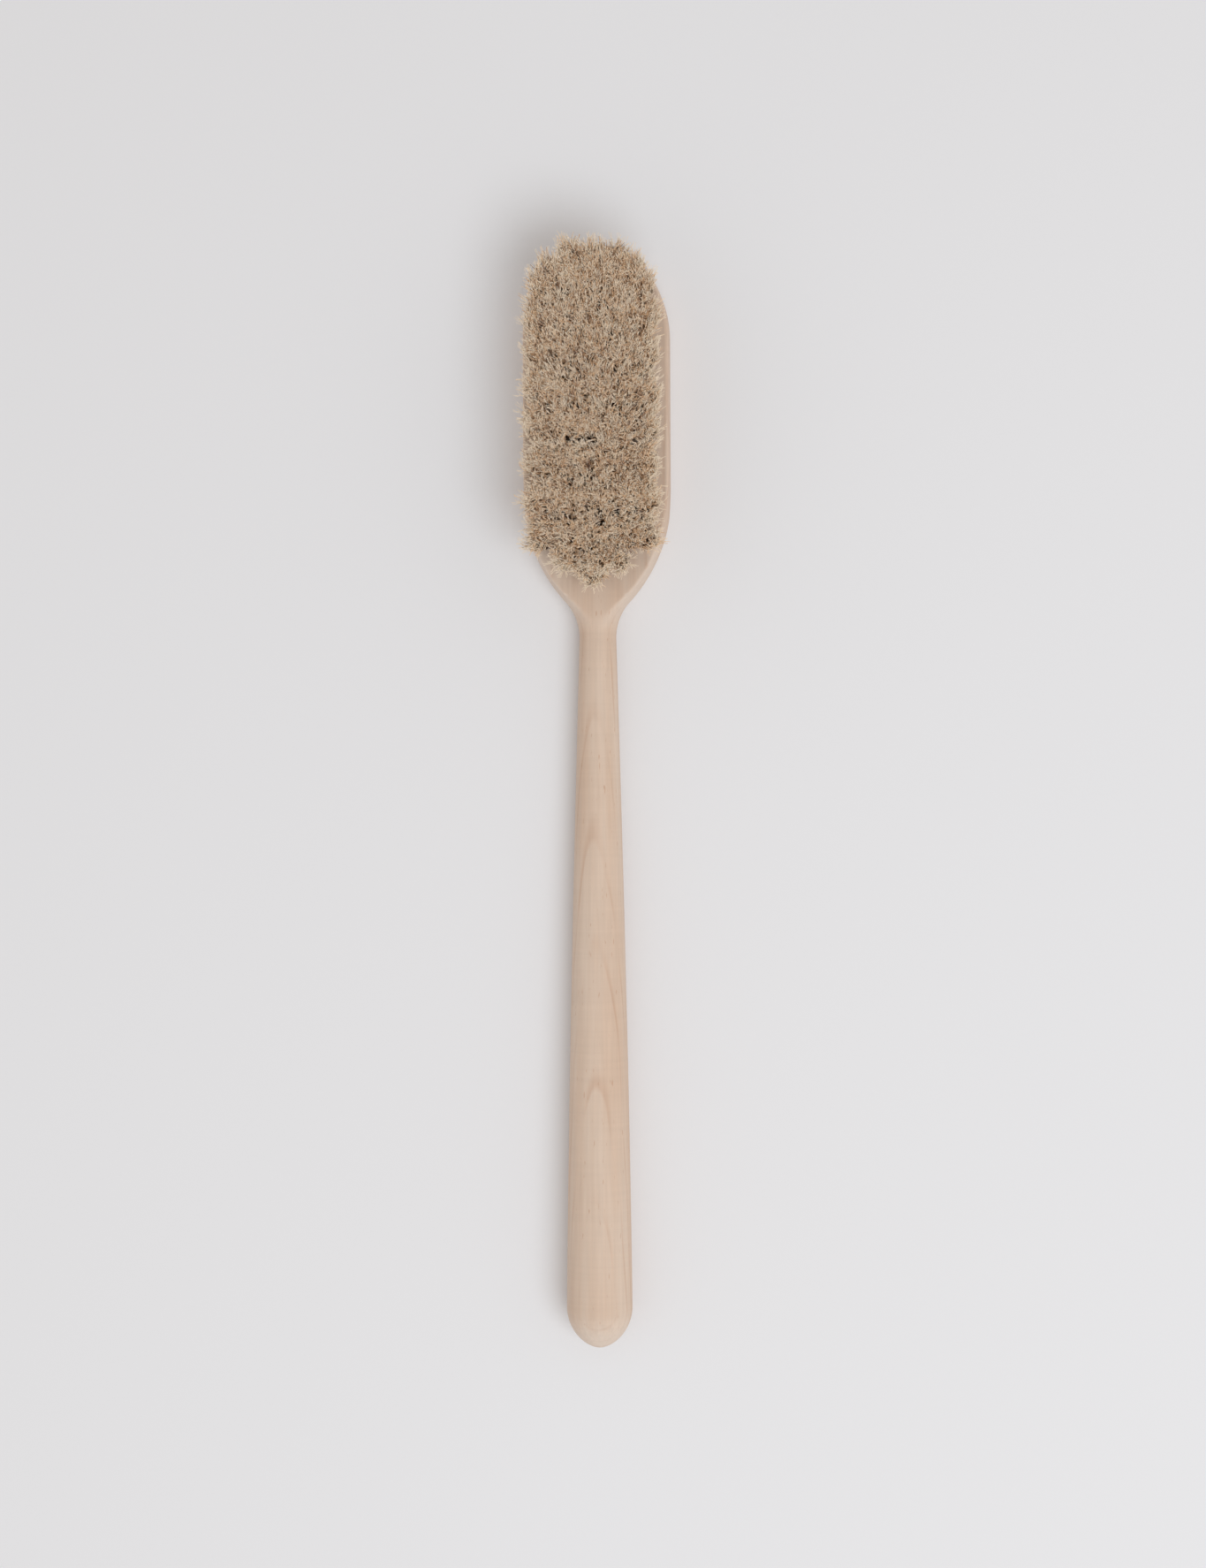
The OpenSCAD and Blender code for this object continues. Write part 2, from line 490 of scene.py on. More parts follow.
@dataclass(frozen=True)
class HorsehairFinish(Finish):
    """Natural horsehair: cream and brown hairs mixed, each a little different, a soft sheen along it, and
    painted shade that darkens each hair towards its root.
    """

    name: str = "horsehair"
    dark: Colour = (0.24, 0.11, 0.045)
    brown: Colour = (0.64, 0.35, 0.155)
    sand: Colour = (0.98, 0.67, 0.40)
    cream: Colour = (1.0, 0.835, 0.64)
    brown_at: float = 0.19
    sand_at: float = 0.40
    cream_at: float = 0.62
    # Painted shade: the colour that each hair darkens to at its root, standing in for the shadow deep in the
    # bristles.
    root_painted_shade: Colour = (0.19, 0.112, 0.065)
    tip_shade: Colour = (1.0, 1.0, 1.0)
    painted_shade_range: Pair = (0.5, 0.92)

    def material(self) -> bpy.types.Material:
        """Builds the material.

        Returns:
            The finished material.
        """
        material, graph, shader = self.start(self.name, Roughness=0.4, IOR=1.5, Specular_IOR_Level=0.8)
        tone = graph.out("ShaderNodeAttribute", "Fac", {"attribute_name": HairAttribute.TONE.value})
        along = graph.out("ShaderNodeAttribute", "Fac", {"attribute_name": HairAttribute.ALONG.value})
        stops = [
            (0.0, self.dark),
            (self.brown_at, self.brown),
            (self.sand_at, self.sand),
            (self.cream_at, self.cream),
        ]
        colour = graph.out("ShaderNodeValToRGB", "Color", {"stops": stops}, {"Fac": tone})
        # Painted shade: each hair darkens towards its root, standing in for the shadow deep in the bristles.
        shade = graph.mix(graph.remap(along, *self.painted_shade_range), self.root_painted_shade, self.tip_shade)
        graph.link(graph.vector("MULTIPLY", colour, shade), shader, "Base Color")
        return material


@dataclass(frozen=True)
class BrassWireFinish(Finish):
    """Bare drawn brass wire with a dull, slightly uneven surface."""

    name: str = "brass_wire"
    bright: Colour = srgb(206, 172, 98)
    dull: Colour = srgb(158, 124, 66)
    patch_scale: float = 160.0
    least_roughness: float = 0.25
    roughness_spread: float = 0.3

    def material(self) -> bpy.types.Material:
        """Builds the material.

        Returns:
            The finished material.
        """
        material, graph, shader = self.start(self.name, Metallic=1.0)
        place = graph.out("ShaderNodeTexCoord", "Object")
        inputs = {"Vector": place, "Scale": self.patch_scale, "Detail": 3.0}
        patches = graph.out("ShaderNodeTexNoise", 0, None, inputs)
        graph.link(graph.mix(patches, self.bright, self.dull), shader, "Base Color")
        graph.link(patches * self.roughness_spread + self.least_roughness, shader, "Roughness")
        return material


@dataclass(frozen=True)
class FloorFinish(Finish):
    """A plain pale floor."""

    name: str = "pale_floor"
    colour: Colour = (0.865, 0.872, 0.893)

    def material(self) -> bpy.types.Material:
        """Builds the material.

        Returns:
            The finished material.
        """
        constants = {"Base_Color": (*self.colour, 1.0), "Roughness": 0.9, "Specular_IOR_Level": 0.1}
        return self.start(self.name, **constants)[0]


# Wood


class WoodPart(Enum):
    """Which piece of wood is meant: the whole before it is divided, or one of the two glued ones."""

    WHOLE = "whole"
    STOCK = "stock"
    COVER = "cover"


@dataclass
class WoodForm:
    """The shape of the wood as a field: negative inside, zero on the surface, roughly metres outside.

    A turned blank, whose axis rises a little towards the butt, is cut to a flat-faced paddle with an oval
    end. Its surface is found section by section, along rays from the middle of each one.
    """

    far_end: float
    head_width: float
    cover_thickness: float
    cover_start: float
    head_thickness: float = 15.5 * MM
    oval_length: float = 34.5 * MM
    face_round: float = 1.3 * MM
    back_round: float = 2.2 * MM
    shoulder_from_end: float = 93.5 * MM
    shoulder_radius: float = 27.9 * MM
    shoulder_curve: float = 60.0 * MM
    neck_from_end: float = 147.5 * MM
    neck_radius: float = 6.95 * MM
    grip_radius: float = 12.35 * MM
    butt_length: float = 15.5 * MM
    butt_shape: float = 1.15
    handle_rise: float = 4.7 * MM
    edge_easing: float = 0.8 * MM
    seam_easing: float = 0.35 * MM
    seam_gap: float = 0.06 * MM
    paddle_start: float = 4.0 * MM
    paddle_release: float = 50.0
    around: int = 176
    corner_crowding: float = 0.18
    ray_reach: float = 2.2
    ray_halvings: int = 44
    section_blend: float = 10.0 * MM
    least_half: float = 1e-6

    def __post_init__(self) -> None:
        """Works out the stations and the curves that follow from the sizes."""
        self.half_width = self.head_width / 2
        self.oval_y = self.far_end - self.oval_length
        self.shoulder_y = self.far_end - self.shoulder_from_end
        self.neck_y = self.far_end - self.neck_from_end
        self.butt_y = self.butt_length - self.far_end
        self.grip_length = self.neck_y - self.butt_y
        gap = self.neck_radius - self.shoulder_radius + self.shoulder_curve
        span = self.shoulder_y - self.neck_y
        self.neck_curve = (gap**2 + span**2 - self.shoulder_curve**2) / (2 * (self.shoulder_curve - gap))
        self.meet_y = self.neck_y + span * self.neck_curve / (self.neck_curve + self.shoulder_curve)
        drop = self.shoulder_radius - self.half_width
        self.runout_y = self.shoulder_y - math.sqrt(2 * self.shoulder_curve * drop)
        self.runout_slope = (self.shoulder_y - self.runout_y) / self.shoulder_curve
        gain = self.grip_radius - self.neck_radius
        touch = math.acos((self.handle_rise - gain / 2) / (gain * math.pi / 4)) / (math.pi / 2)
        swell = (touch + math.sin(math.pi / 2 * touch)) / 2
        self.axis_z = self.neck_radius - self.handle_rise * touch + gain * swell
        self.tilt = math.atan(self.handle_rise / self.grip_length)

    def blank_radius(self, station: np.ndarray) -> np.ndarray:
        """Radius of the turned blank.

        Args:
            station: Distance along the axis from the neck, towards the head.

        Returns:
            The radius at each station.
        """
        forward = self.neck_y + np.maximum(station, 0.0)
        back = -station * math.cos(self.tilt)
        share = np.clip(back / self.grip_length, 0.0, 1.0)
        swell = (share + np.sin(np.pi / 2 * share)) / 2
        grip = self.neck_radius + (self.grip_radius - self.neck_radius) * swell
        past = np.clip((back - self.grip_length) / self.butt_length, 0.0, 1.0)
        grip *= (1 - past**2) ** (self.butt_shape / 2)
        inner = np.clip(forward, self.neck_y, self.meet_y)
        rise = np.sqrt(self.neck_curve**2 - (inner - self.neck_y) ** 2)
        fillet = self.neck_radius + self.neck_curve - rise
        outer = np.clip(forward, self.meet_y, self.runout_y)
        dome = self.shoulder_radius - self.shoulder_curve
        dome = dome + np.sqrt(self.shoulder_curve**2 - (self.shoulder_y - outer) ** 2)
        runout = np.maximum(forward - self.runout_y, 0.0) * self.runout_slope
        shoulder = np.where(forward < self.meet_y, fillet, dome) + runout
        return np.where(station < 0, grip, shoulder)

    def blank(self, spots: Spots) -> np.ndarray:
        """Field of the turned blank.

        Args:
            spots: The points across, along and up the brush.

        Returns:
            The field at each point.
        """
        x, y, z = spots
        cos, sin = math.cos(self.tilt), math.sin(self.tilt)
        along = (y - self.neck_y) * cos - (z - self.axis_z) * sin
        off = (y - self.neck_y) * sin + (z - self.axis_z) * cos
        return np.hypot(x, off) - self.blank_radius(along)

    def paddle(self, spots: Spots) -> np.ndarray:
        """Field of the flat head with its oval end and rounded edges.

        Args:
            spots: The points across, along and up the brush.

        Returns:
            The field at each point.
        """
        x, y, z = spots
        stretch = self.oval_length / self.half_width
        reach = np.hypot(x, np.maximum(y - self.oval_y, 0.0) / stretch)
        middle = self.head_thickness / 2
        corner = np.where(z > middle, self.face_round, self.back_round)
        side = reach - (self.half_width - corner)
        level = np.abs(z - middle) - (middle - corner)
        outside = np.hypot(np.maximum(side, 0), np.maximum(level, 0))
        shape = outside + np.minimum(np.maximum(side, level), 0) - corner
        free = np.maximum(self.neck_y + self.paddle_start - y, 0.0)
        return shape - free * self.paddle_release

    def field(self, part: WoodPart, spots: Spots) -> np.ndarray:
        """Field of the wood, with its edges eased by sanding.

        Args:
            part: The glued piece that is meant.
            spots: The points across, along and up the brush.

        Returns:
            The field at each point.
        """
        wood = eased_max(self.blank(spots), self.paddle(spots), self.edge_easing)
        if part is WoodPart.WHOLE:
            return wood
        sign = 1.0 if part is WoodPart.COVER else -1.0
        plane = sign * (spots[2] - self.cover_thickness) + self.seam_gap
        return eased_max(wood, plane, self.seam_easing)

    def directions(self) -> tuple[np.ndarray, np.ndarray]:
        """Spreads the rays around a section, closer together at the four corners.

        Returns:
            The cosine and the sine of each ray's turn.
        """
        turn = np.arange(self.around) / self.around * 2 * np.pi
        turn = turn + self.corner_crowding * np.sin(4 * turn)
        return np.cos(turn), np.sin(turn)

    def ring(self, part: WoodPart, y: float, centre_z: float, half: Pair) -> np.ndarray:
        """Finds the surface around one section.

        Args:
            part: The piece of wood that is meant.
            y: Where the section is.
            centre_z: Height of the point that the rays leave from.
            half: Rough half width and half height of the section.

        Returns:
            Points on the surface, one for each direction.
        """
        cos, sin = self.directions()
        near, far = np.zeros(self.around), np.full(self.around, self.ray_reach)
        station = np.full(self.around, y)
        for _ in range(self.ray_halvings):
            reach = (near + far) / 2
            spots = (reach * half[0] * cos, station, centre_z + reach * half[1] * sin)
            inside = self.field(part, spots) < 0
            near, far = np.where(inside, reach, near), np.where(inside, far, reach)
        return np.stack([near * half[0] * cos, station, centre_z + near * half[1] * sin], axis=1)

    def half_sizes(self, y: float) -> tuple[float, float, float]:
        """Measures a section roughly, to aim its rays.

        Args:
            y: Where the section is.

        Returns:
            The height of its centre, its half width and its half height.
        """
        radius = float(self.blank_radius(np.array([(y - self.neck_y) / math.cos(self.tilt)]))[0])
        axis = self.axis_z - (y - self.neck_y) * math.tan(self.tilt)
        blend = min(max((y - self.neck_y) / self.section_blend, 0.0), 1.0)
        past = min(max((y - self.oval_y) / self.oval_length, 0.0), 1.0)
        width = min(radius, self.half_width * math.sqrt(max(1 - past**2, 0.0)))
        height = min(radius, self.head_thickness / 2)
        centre = axis * (1 - blend) + self.head_thickness / 2 * blend
        return centre, max(width, self.least_half), max(height, self.least_half)


def eased_max(first: np.ndarray, second: np.ndarray, width: float) -> np.ndarray:
    """The larger of two fields, with the crease rounded off where they differ by less than a width."""
    overlap = np.maximum(width - np.abs(first - second), 0.0) / width
    return np.maximum(first, second) + overlap**2 * width / 4


def mesh_object(name: str, vertices: np.ndarray, faces: Sequence[Sequence[int]]) -> bpy.types.Object:
    """Makes a mesh object at the origin and links it to the scene.

    Args:
        name: The piece's name.
        vertices: Its points, one row each.
        faces: Corner indices of each face.

    Returns:
        The new object.
    """
    mesh = bpy.data.meshes.new(name)
    mesh.from_pydata(vertices.tolist(), [], [tuple(face) for face in faces])
    mesh.validate()
    piece = bpy.data.objects.new(name, mesh)
    bpy.context.scene.collection.objects.link(piece)
    return piece


def loft(name: str, rings: Sequence[np.ndarray], first_tip: bool, last_tip: bool) -> bpy.types.Object:
    """Joins rings of points into one closed surface.

    Args:
        name: The piece's name.
        rings: Sections in order, each with the same number of points.
        first_tip: Whether the first ring closes on a point instead of a flat face.
        last_tip: Whether the last ring is a line that closes on itself.

    Returns:
        The piece, smooth except at its sharp edges.
    """
    count = len(rings[0])
    vertices = np.concatenate(rings)
    faces: list[Sequence[int]] = []
    for row in range(len(rings) - 1):
        start = row * count
        for i in range(count):
            j = (i + 1) % count
            faces.append((start + i, start + j, start + count + j, start + count + i))
    if first_tip:
        tip = len(vertices)
        vertices = np.vstack([vertices, rings[0].mean(axis=0)])
        faces += [((i + 1) % count, i, tip) for i in range(count)]
    else:
        faces.append(list(range(count))[::-1])
    if not last_tip:
        faces.append([(len(rings) - 1) * count + i for i in range(count)])
    piece = mesh_object(name, vertices, faces)
    tidy_mesh(piece)
    return piece


def tidy_mesh(piece: bpy.types.Object, sharp_degrees: float = 50.0, merge: float = 2e-7) -> None:
    """Merges doubled points, turns faces outwards and marks sharp edges.

    Args:
        piece: The mesh object.
        sharp_degrees: Edges that bend more than this stay sharp.
        merge: Points closer than this become one, and edges under half of it go.
    """
    work = bmesh.new()
    work.from_mesh(piece.data)
    bmesh.ops.remove_doubles(work, verts=work.verts, dist=merge)
    bmesh.ops.dissolve_degenerate(work, edges=work.edges, dist=merge / 2)
    bmesh.ops.recalc_face_normals(work, faces=work.faces)
    work.to_mesh(piece.data)
    work.free()
    piece.data.shade_smooth()
    piece.data.set_sharp_from_angle(angle=math.radians(sharp_degrees))


def settle(piece: bpy.types.Object, slot: str, material: bpy.types.Material, *nodes: str) -> None:
    """Gives a finished piece its material and its body, and hides the frame's nodes that it replaces.

    Args:
        piece: The finished piece.
        slot: The record's material slot; not used.
        material: Its material.
        nodes: The frame's nodes that it replaces.
    """
    piece.data.materials.clear()
    piece.data.materials.append(material)
    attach(piece, ROOT_BODY)
    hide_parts(*nodes)
    LOG.info("%s: %d faces", piece.name, len(piece.data.polygons))


@dataclass
class WoodenBrush:
    """The two glued pieces of wood: stock with handle, and back cover."""

    form: WoodForm
    grip_steps: int = 110
    butt_steps: int = 26
    shoulder_step: float = 0.8 * MM
    shoulder_run: float = 4.0 * MM
    side_steps: int = 14
    oval_steps: int = 64
    least_step: float = 0.1 * MM
    butt_tip: float = 1e-6
    oval_tip: float = 1e-7

    def stations(self, start: float) -> list[float]:
        """Where the sections are, closer together where the outline bends.

        Args:
            start: Only stations past this one are given.

        Returns:
            Positions along the brush in rising order.
        """
        form = self.form
        turns = [math.pi / 2 * (1 - i / self.butt_steps) for i in range(self.butt_steps)]
        places = [form.butt_y - form.butt_length * math.sin(turn) for turn in turns]
        places[0] += self.butt_tip
        places += list(np.linspace(form.butt_y, form.neck_y, self.grip_steps))
        past_shoulder = form.shoulder_y + self.shoulder_run
        places += list(np.arange(form.neck_y + self.shoulder_step, past_shoulder, self.shoulder_step))
        places += list(np.linspace(past_shoulder, form.oval_y, self.side_steps))
        quarter = [math.pi / 2 * (i + 1) / self.oval_steps for i in range(self.oval_steps)]
        places += [form.oval_y + form.oval_length * math.sin(turn) for turn in quarter]
        places[-1] -= self.oval_tip
        return [place for place in places if place > start]

    def build_stock(self) -> bpy.types.Object:
        """Builds the head's stock with the shoulder, neck and handle.

        Returns:
            One closed mesh.
        """
        form = self.form
        places = self.stations(-math.inf)
        rings = []
        for place in [p for p in places if p < form.cover_start]:
            centre, wide, high = form.half_sizes(place)
            rings.append(form.ring(WoodPart.WHOLE, place, centre, (wide, high)))
        middle = (form.cover_thickness + form.head_thickness) / 2
        half = (form.half_sizes(form.cover_start)[1], (form.head_thickness - form.cover_thickness) / 2)
        rings.append(form.ring(WoodPart.WHOLE, form.cover_start, middle, half))
        rings.append(form.ring(WoodPart.STOCK, form.cover_start, middle, half))
        for place in [p for p in places if p > form.cover_start + self.least_step]:
            half = (form.half_sizes(place)[1], half[1])
            rings.append(form.ring(WoodPart.STOCK, place, middle, half))
        rings[-1][:, 0] = 0.0
        return loft("wooden_stock_and_handle", rings, first_tip=True, last_tip=True)

    def build_cover(self) -> bpy.types.Object:
        """Builds the cover that is glued over the back of the head.

        Returns:
            One closed mesh.
        """
        form = self.form
        middle = form.cover_thickness / 2
        start = form.cover_start + 2 * form.seam_gap
        rings = []
        for place in [start, *self.stations(start + self.least_step)]:
            wide = form.half_sizes(place)[1]
            rings.append(form.ring(WoodPart.COVER, place, middle, (wide, middle)))
        rings[-1][:, 0] = 0.0
        return loft("wooden_back_cover", rings, first_tip=False, last_tip=True)

    def build(self) -> None:
        """Builds both pieces, gives them their wood and ties them to the frame."""
        settle(self.build_stock(), "maple", MapleFinish("maple").material(), "brush_body")
        board = MapleFinish("maple_cover", ring_centre=(-0.013, 0.0, -0.034), ring_tilt=-1.4)
        settle(self.build_cover(), "maple_cover", board.material(), "back_cover")


@dataclass
class DrawingWire:
    """The brass wire that draws every tuft into the stock, shut in by the back cover."""

    node: str = "drawing_wire"

    def dress(self, frame: dict[str, Any]) -> None:
        """Gives the frame's wire its brass.
        """
        wire = frame["nodes"][self.node]
        wire.data.materials.clear()
        wire.data.materials.append(BrassWireFinish().material())
        LOG.info("%s: %d faces", wire.name, len(wire.data.polygons))


# Bristles


class Draw(Enum):
    """The random draws that make hairs differ, each with its own salt."""

    LOCK_TURN = 1
    LOCK_SHARE = 2
    TRIM = 3
    CUT_SHORT = 4
    BEND_TURN = 5
    BEND = 6
    PHASE = 7
    TONE = 8
    LOOSE_X = 9
    LOOSE_Y = 10
    LOCK_TRIM = 11
    OWN_BEND_TURN = 12
    LOCK_TONE = 13


@dataclass
class HairTree:
    """The geometry nodes that turn tuft points into hairs, which all rows share.

    Hairs stand in locks, which share their place and their curve. Sizes come in through the tree's inputs;
    the fields here are shares, powers and turns.
    """

    material: bpy.types.Material
    inputs: dict[str, float]
    own_trim: float = 0.3
    lock_trim: float = 0.4
    short_cut: float = 2.0
    short_rarity: float = 14.0
    own_turn: float = 0.4
    droop: float = -0.3
    least_bend: float = 0.25
    border_overlap: float = 0.3
    own_tone: float = 0.25
    tone_overrun: float = 0.05
    ease: float = 1.8
    bend_power: float = 7.0
    ripples: Pair = (9.0, 7.5)
    ripple_offset: float = 1.7
    taper: float = 0.4
    taper_power: float = 5.0
    sides: int = 3

    def __post_init__(self) -> None:
        """Starts the node group with its named inputs."""
        self.tree = bpy.data.node_groups.new("tuft_hairs", "GeometryNodeTree")
        self.graph = NodeGraph(self.tree)
        face = self.tree.interface
        face.new_socket("Geometry", in_out="INPUT", socket_type="NodeSocketGeometry")
        face.new_socket("Geometry", in_out="OUTPUT", socket_type="NodeSocketGeometry")
        for name, value in self.inputs.items():
            kind = "NodeSocketInt" if isinstance(value, int) else "NodeSocketFloat"
            face.new_socket(name, in_out="INPUT", socket_type=kind)
        outputs = self.graph.node("NodeGroupInput").outputs
        self.given = {socket.name: Socket(self.graph, socket) for socket in outputs if socket.name}

    def chance(self, draw: Draw, low: float = 0.0, high: float = 1.0, shared: bool = False) -> Socket:
        """Draws a random number for each hair.

        Args:
            draw: Which draw it is.
            low: The least value.
            high: The greatest value.
            shared: Whether the hairs of a lock share the number.

        Returns:
            The number.
        """
        index = self.graph.out("GeometryNodeInputIndex", 0)
        if shared:
            index = self.graph.math("FLOOR", index / self.given["Lock"])
        seed = self.given["Seed"] * 100 + draw.value
        inputs = {"Min_001": low, "Max_001": high, "ID": index, "Seed": seed}
        return self.graph.out("FunctionNodeRandomValue", 1, {"data_type": "FLOAT"}, inputs)

    def read(self, name: str, kind: str = "FLOAT_VECTOR") -> Socket:
        """Reads a named attribute."""
        return self.graph.out("GeometryNodeInputNamedAttribute", 0, {"data_type": kind}, {"Name": name})

    def store(self, geometry: Socket, name: str, value: Socket, kind: str = "FLOAT_VECTOR") -> Socket:
        """Writes a named attribute on the points.

        Args:
            geometry: The geometry that takes it.
            name: The attribute's name.
            value: Its value at each point.
            kind: Its data type.

        Returns:
            The geometry with the attribute.
        """
        inputs = {"Geometry": geometry, "Name": name, "Value": value}
        settings = {"data_type": kind, "domain": "POINT"}
        return self.graph.out("GeometryNodeStoreNamedAttribute", 0, settings, inputs)

    def sum(self, first: Socket, *others: Socket) -> Socket:
        """Adds vectors.

        Args:
            first: The first vector.
            others: The rest, in order.

        Returns:
            Their sum.
        """
        for other in others:
            first = self.graph.vector("ADD", first, other)
        return first

    def around(self, turn: Socket, rise: float = 0.0) -> Socket:
        """A step of one unit in the direction of a turn, with a rise."""
        return self.graph.combine(self.graph.math("COSINE", turn), self.graph.math("SINE", turn), rise)

    def upward(self, height: Socket) -> Socket:
        """A step straight up."""
        return self.graph.combine(0.0, 0.0, height)

    def roots(self) -> Socket:
        """Places the hairs of each tuft and notes how each one stands.

        Returns:
            A point for each hair, with its root, its straight reach, its bend, its phase and its tone.
        """
        graph, given = self.graph, self.given
        many = {"Geometry": given["Geometry"], "Amount": given["Hairs"]}
        points = graph.out("GeometryNodeDuplicateElements", 0, {"domain": "POINT"}, many)
        outward = self.around(self.chance(Draw.LOCK_TURN, 0.0, FULL_TURN, shared=True))
        share = graph.math("SQRT", self.chance(Draw.LOCK_SHARE, shared=True))
        root = graph.vector("SCALE", outward, share * given["Bundle radius"])
        root = self.sum(graph.out("GeometryNodeInputPosition", 0), root)
        root = graph.vector("SUBTRACT", root, self.upward(given["Hidden length"]))
        loose = graph.combine(self.chance(Draw.LOOSE_X, -1.0), self.chance(Draw.LOOSE_Y, -1.0), 0.0)
        loose = graph.vector("SCALE", loose, given["Lock spread"])
        spread = graph.vector("SCALE", outward, share * (given["Tip radius"] - given["Bundle radius"]))
        reach = self.upward(self.height() + given["Hidden length"])
        points = self.store(points, "root", root)
        points = self.store(points, "straight", self.sum(self.read("lean"), spread, loose, reach))
        points = self.store(points, "bend", self.bend())
        points = self.store(points, "phase", self.chance(Draw.PHASE, 0.0, FULL_TURN), "FLOAT")
        # Border hairs are paler: partly paler hair, partly painted light on the border, which stands open to
        # the light.
        facing = graph.vector("DOT_PRODUCT", outward, self.read("outward"))
        border = graph.math("MAXIMUM", facing + self.border_overlap, 0.0) * share
        tone = self.chance(Draw.TONE, -self.own_tone, self.own_tone)
        tone = tone + self.chance(Draw.LOCK_TONE, -self.tone_overrun, 1 + self.tone_overrun, shared=True)
        tone = tone + self.read("tone", "FLOAT") + border * given["Border tone and light"]
        return self.store(points, HairAttribute.TONE.value, tone, "FLOAT")

    def height(self) -> Socket:
        """How high a hair stands over the wood: trimmed unevenly, with a few hairs cut short.

        Returns:
            The height in metres.
        """
        scatter = self.given["Trim scatter"]
        trim = self.chance(Draw.TRIM, -self.own_trim, self.own_trim)
        trim = trim + self.chance(Draw.LOCK_TRIM, -self.lock_trim, self.lock_trim, shared=True)
        height = self.given["Height"] + self.read("height", "FLOAT") + scatter * trim
        return height - scatter * self.short_cut * self.chance(Draw.CUT_SHORT) ** self.short_rarity

    def bend(self) -> Socket:
        """How far a hair's tip is bent aside, with the whole brush combed along the head.

        Returns:
            The step from the straight tip to the bent one.
        """
        turn = self.chance(Draw.BEND_TURN, 0.0, FULL_TURN, shared=True)
        turn = turn + self.chance(Draw.OWN_BEND_TURN, -self.own_turn, self.own_turn)
        amount = self.given["Bend"] * self.chance(Draw.BEND, self.least_bend, shared=True)
        comb = self.graph.combine(0.0, self.given["Comb"] * self.read("along", "FLOAT"), 0.0)
        return self.sum(self.graph.vector("SCALE", self.around(turn, self.droop), amount), comb)

    def path(self, t: Socket) -> Socket:
        """Where a hair runs: straight at first, bent near the tip, with a fine ripple.

        Args:
            t: How far along its hair a point is, from 0 to 1.

        Returns:
            The point's position.
        """
        graph, phase, wave = self.graph, self.read("phase", "FLOAT"), self.given["Wave"]
        sway = graph.math("SINE", t * self.ripples[0] + phase) * wave * t
        nod = graph.math("COSINE", t * self.ripples[1] + phase * self.ripple_offset) * wave * t
        straight = graph.vector("SCALE", self.read("straight"), t)
        bend = graph.vector("SCALE", self.read("bend"), t**self.bend_power)
        return self.sum(self.read("root"), straight, bend, graph.combine(sway, nod, 0.0))

    def hairs(self, points: Socket) -> Socket:
        """Draws each hair as a curve and gives it its thickness.

        Args:
            points: What roots gives.

        Returns:
            The surfaces of all hairs.
        """
        graph, given = self.graph, self.given
        ends = {"Start": (0, 0, 0), "End": (0, 0, 1)}
        line = graph.out("GeometryNodeCurvePrimitiveLine", 0, {"mode": "POINTS"}, ends)
        count = {"Curve": line, "Count": given["Rings"]}
        line = graph.out("GeometryNodeResampleCurve", 0, {"mode": "COUNT"}, count)
        copies = graph.out("GeometryNodeInstanceOnPoints", 0, None, {"Points": points, "Instance": line})
        curves = graph.out("GeometryNodeRealizeInstances", 0, None, {"Geometry": copies})
        t = 1.0 - (1.0 - graph.out("GeometryNodeSplineParameter", 0)) ** self.ease
        moved = {"Geometry": curves, "Position": self.path(t)}
        curves = graph.out("GeometryNodeSetPosition", 0, None, moved)
        curves = self.store(curves, HairAttribute.ALONG.value, t, "FLOAT")
        radius = given["Hair diameter"] * 0.5 * (1.0 - t**self.taper_power * self.taper)
        curves = graph.out("GeometryNodeSetCurveRadius", 0, None, {"Curve": curves, "Radius": radius})
        circle = {"Resolution": self.sides, "Radius": 1.0}
        profile = graph.out("GeometryNodeCurvePrimitiveCircle", 0, {"mode": "RADIUS"}, circle)
        scale = graph.out("GeometryNodeInputRadius", 0)
        sweep = {"Curve": curves, "Profile Curve": profile, "Scale": scale, "Fill Caps": True}
        return graph.out("GeometryNodeCurveToMesh", 0, None, sweep)

    def build(self) -> bpy.types.GeometryNodeTree:
        """Joins the steps, and ends the tree in real geometry with its material.

        Returns:
            The finished node group.
        """
        graph = self.graph
        smooth = {"Geometry": self.hairs(self.roots()), "Shade Smooth": True}
        solid = graph.out("GeometryNodeSetShadeSmooth", 0, None, smooth)
        solid = graph.out("GeometryNodeRealizeInstances", 0, None, {"Geometry": solid})
        inputs = {"Geometry": solid, "Material": self.material}
        solid = graph.out("GeometryNodeSetMaterial", 0, None, inputs)
        graph.node("NodeGroupOutput", None, {"Geometry": solid})
        return self.tree


@dataclass(frozen=True)
class Tuft:
    """One bundle of hair: where it leaves the wood, how it stands, its tone with painted light and shade by
    row pair, and which way is out.
    """

    root: Triple
    lean: Triple
    tone: float
    height: float
    along: float
    outward: Triple


